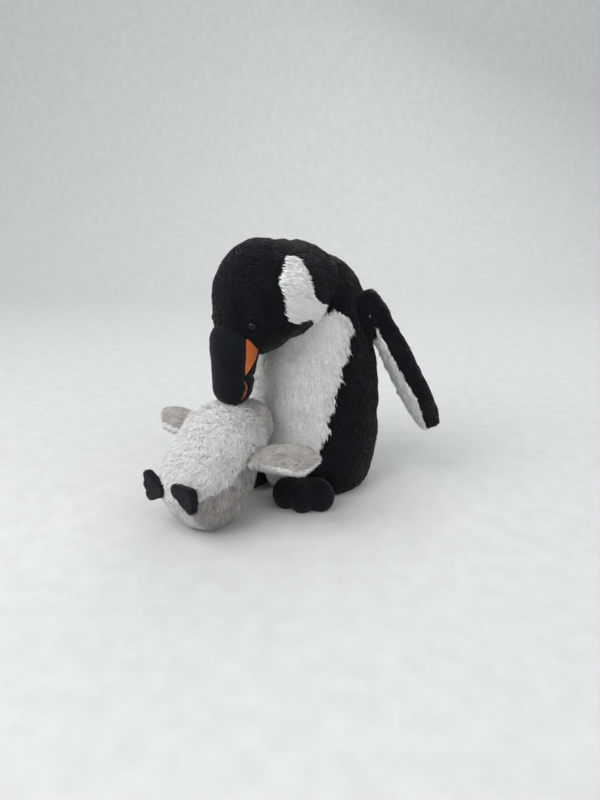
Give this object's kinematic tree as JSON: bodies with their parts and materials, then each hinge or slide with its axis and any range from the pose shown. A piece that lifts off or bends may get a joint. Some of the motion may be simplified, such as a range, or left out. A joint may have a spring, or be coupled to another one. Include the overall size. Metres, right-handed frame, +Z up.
{
  "type": "plush penguin with chick",
  "caption": "Soft toy penguin sitting with its neck bent over a plush chick, with movable head, wings and feet, sewn from black, white and grey plush.",
  "frame": {"origin": "centre of the flat base panel, on the surface that the toy sits on", "axes": "+Z up, -Y the way the penguin faces, +X towards its left wing"},
  "size_m": [0.1772, 0.2268, 0.2147],
  "materials": {
    "black_plush": "short dense plush pile with a soft sheen",
    "white_plush": "long fluffy pile, slightly clumped and glittery",
    "white_fleece": "long fluffy pile",
    "grey_plush": "medium warm grey pile with crushed patches",
    "pale_plush": "medium pale grey pile",
    "black_felt": "smooth brushed low pile fabric",
    "orange_felt": "smooth brushed low pile fabric",
    "chick_beak_felt": "smooth brushed low pile fabric",
    "eye_plastic": "polished black",
    "washer_plastic": "natural white nylon",
    "stuffing": "loose polyester fibre",
    "bag_cloth": "plain woven cotton",
    "thread": "twisted sewing thread"
  },
  "bodies": {
    "torso": {"body_back": "black_plush", "belly_panel": "white_plush", "base_panel": "black_felt", "body_stuffing": "stuffing", "pellet_bag": "bag_cloth", "lap_stitches": "thread"},
    "head": {"head_skin": "black_plush", "ear_patch_left": "white_plush", "ear_patch_right": "white_plush", "head_stuffing": "stuffing", "eye_left": "eye_plastic", "eye_right": "eye_plastic", "eye_washer_left": "washer_plastic", "eye_washer_right": "washer_plastic", "beak_upper": "black_felt", "beak_lower": "black_felt", "beak_stripe_left": "orange_felt", "beak_stripe_right": "orange_felt", "beak_stuffing": "stuffing"},
    "wing_left": {"wing_left_outer": "black_plush", "wing_left_lining": "white_plush", "wing_left_filling": "stuffing"},
    "wing_right": {"wing_right_outer": "black_plush", "wing_right_lining": "white_plush", "wing_right_filling": "stuffing"},
    "foot_left": {"foot_left_upper": "black_felt", "foot_left_sole": "black_felt", "foot_left_stuffing": "stuffing"},
    "foot_right": {"foot_right_upper": "black_felt", "foot_right_sole": "black_felt", "foot_right_stuffing": "stuffing"},
    "chick": {"chick_back": "grey_plush", "chick_belly_panel": "white_fleece", "chick_seat_panel": "pale_plush", "chick_stuffing": "stuffing", "chick_head_skin": "grey_plush", "chick_head_stuffing": "stuffing", "chick_beak": "chick_beak_felt", "chick_eye_left": "eye_plastic", "chick_eye_right": "eye_plastic", "chick_foot_left": "black_felt", "chick_foot_right": "black_felt"},
    "chick_wing_left": {"chick_wing_left_outer": "grey_plush", "chick_wing_left_lining": "white_fleece"},
    "chick_wing_right": {"chick_wing_right_outer": "grey_plush", "chick_wing_right_lining": "white_fleece"}
  },
  "joints": [
    {"name": "neck_lift", "type": "hinge", "parent": "torso", "child": "head", "pos_m": [0, 0, 0.159], "axis": [-1, 0, 0], "range_deg": [0, 30]},
    {"name": "wing_left_raise", "type": "hinge", "parent": "torso", "child": "wing_left", "pos_m": [0.0484, 0.023, 0.152], "axis": [0, -1, 0], "range_deg": [-4, 55]},
    {"name": "wing_right_raise", "type": "hinge", "parent": "torso", "child": "wing_right", "pos_m": [-0.0484, 0.023, 0.152], "axis": [0, 1, 0], "range_deg": [-4, 55]},
    {"name": "foot_left_flex", "type": "hinge", "parent": "torso", "child": "foot_left", "pos_m": [0.0315, -0.0433, 0.023], "axis": [-0.809, -0.5878, 0], "range_deg": [0, 18]},
    {"name": "foot_right_flex", "type": "hinge", "parent": "torso", "child": "foot_right", "pos_m": [-0.0315, -0.0433, 0.023], "axis": [-0.809, 0.5878, 0], "range_deg": [0, 18]},
    {"name": "chick_swing", "type": "hinge", "parent": "torso", "child": "chick", "pos_m": [0, -0.057, 0.072], "axis": [0, 0, 1], "range_deg": [-10, 10]},
    {"name": "chick_wing_left_raise", "type": "hinge", "parent": "chick", "child": "chick_wing_left", "pos_m": [0.0355, -0.098, 0.059], "axis": [0.7741, -0.6331, 0], "range_deg": [0, 50]},
    {"name": "chick_wing_right_raise", "type": "hinge", "parent": "chick", "child": "chick_wing_right", "pos_m": [-0.0355, -0.098, 0.059], "axis": [-0.1045, 0.9945, 0], "range_deg": [0, 50]}
  ]
}
